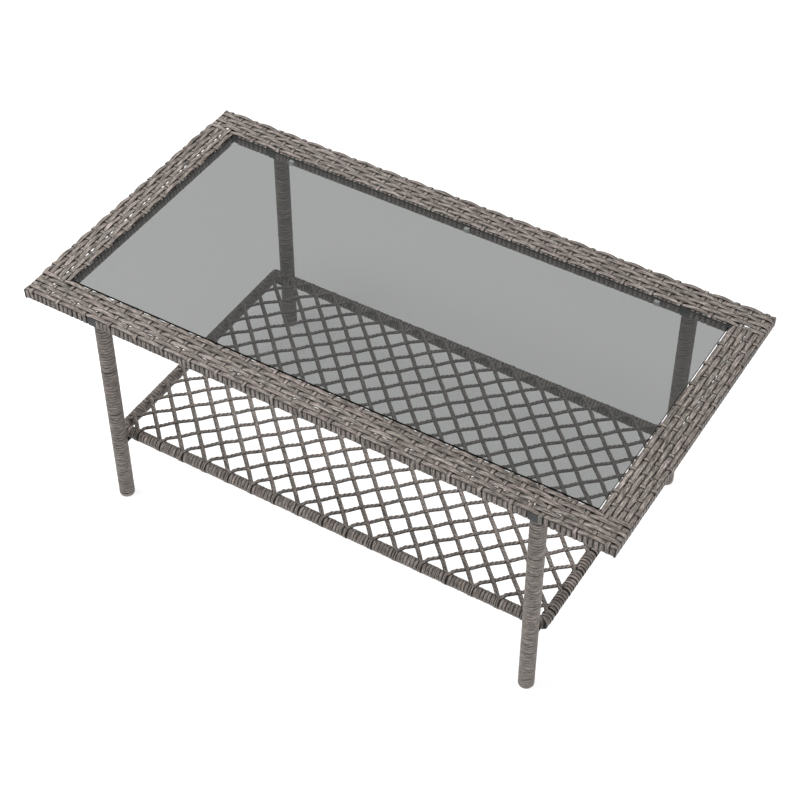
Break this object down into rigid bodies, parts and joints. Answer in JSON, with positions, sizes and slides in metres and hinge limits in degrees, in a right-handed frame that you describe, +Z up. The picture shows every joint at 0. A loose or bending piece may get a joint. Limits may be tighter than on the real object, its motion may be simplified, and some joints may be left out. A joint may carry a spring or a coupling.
{
  "type": "coffee table",
  "caption": "Rectangular garden coffee table with a woven rim, a drop-in tinted glass top, round wrapped legs and a diagonal lattice shelf.",
  "frame": {"origin": "on the floor, under the middle of the table", "axes": "+X along the table's length, +Y to the back, +Z up"},
  "size_m": [1, 0.532, 0.408],
  "materials": {
    "wicker": "matte grained PE strand, grey brown with light streaks",
    "frame_steel": "dark slate powder coat",
    "fastener_steel": "zinc plated",
    "glass": "grey tinted tempered glass",
    "foot_plastic": "moulded, fine grain",
    "clear_silicone": "clear, soft"
  },
  "bodies": {
    "frame": {"foot_cap_back_left": "foot_plastic", "foot_cap_back_right": "foot_plastic", "foot_cap_front_left": "foot_plastic", "foot_cap_front_right": "foot_plastic", "glass_pads": "clear_silicone", "glass_pegs": "frame_steel", "inner_tube_back": "frame_steel", "inner_tube_front": "frame_steel", "inner_tube_left": "frame_steel", "inner_tube_right": "frame_steel", "inner_wrap_back": "wicker", "inner_wrap_front": "wicker", "inner_wrap_left": "wicker", "inner_wrap_right": "wicker", "lattice_strands_lower": "wicker", "lattice_strands_upper": "wicker", "leg_mount_plate_back_left": "frame_steel", "leg_mount_plate_back_right": "frame_steel", "leg_mount_plate_front_left": "frame_steel", "leg_mount_plate_front_right": "frame_steel", "leg_plugs": "frame_steel", "leg_studs": "fastener_steel", "leg_tube_back_left": "frame_steel", "leg_tube_back_right": "frame_steel", "leg_tube_front_left": "frame_steel", "leg_tube_front_right": "frame_steel", "leg_wrap_back_left": "wicker", "leg_wrap_back_right": "wicker", "leg_wrap_front_left": "wicker", "leg_wrap_front_right": "wicker", "outer_tube_back": "frame_steel", "outer_tube_front": "frame_steel", "outer_tube_left": "frame_steel", "outer_tube_right": "frame_steel", "outer_wrap_back": "wicker", "outer_wrap_front": "wicker", "outer_wrap_left": "wicker", "outer_wrap_right": "wicker", "rim_weave_back": "wicker", "rim_weave_front": "wicker", "rim_weave_left": "wicker", "rim_weave_right": "wicker", "rivet_nuts": "fastener_steel", "shelf_bolts": "fastener_steel", "shelf_tabs": "frame_steel", "shelf_tube_back": "frame_steel", "shelf_tube_front": "frame_steel", "shelf_tube_left": "frame_steel", "shelf_tube_right": "frame_steel", "shelf_wrap_back": "wicker", "shelf_wrap_front": "wicker", "shelf_wrap_left": "wicker", "shelf_wrap_right": "wicker", "weld_nuts": "fastener_steel"},
    "glass": {"glass_pane": "glass"}
  },
  "joints": [
    {"name": "glass_lift", "type": "slide", "parent": "frame", "child": "glass", "axis": [0, 0, 1], "range_m": [0, 0.1]}
  ]
}
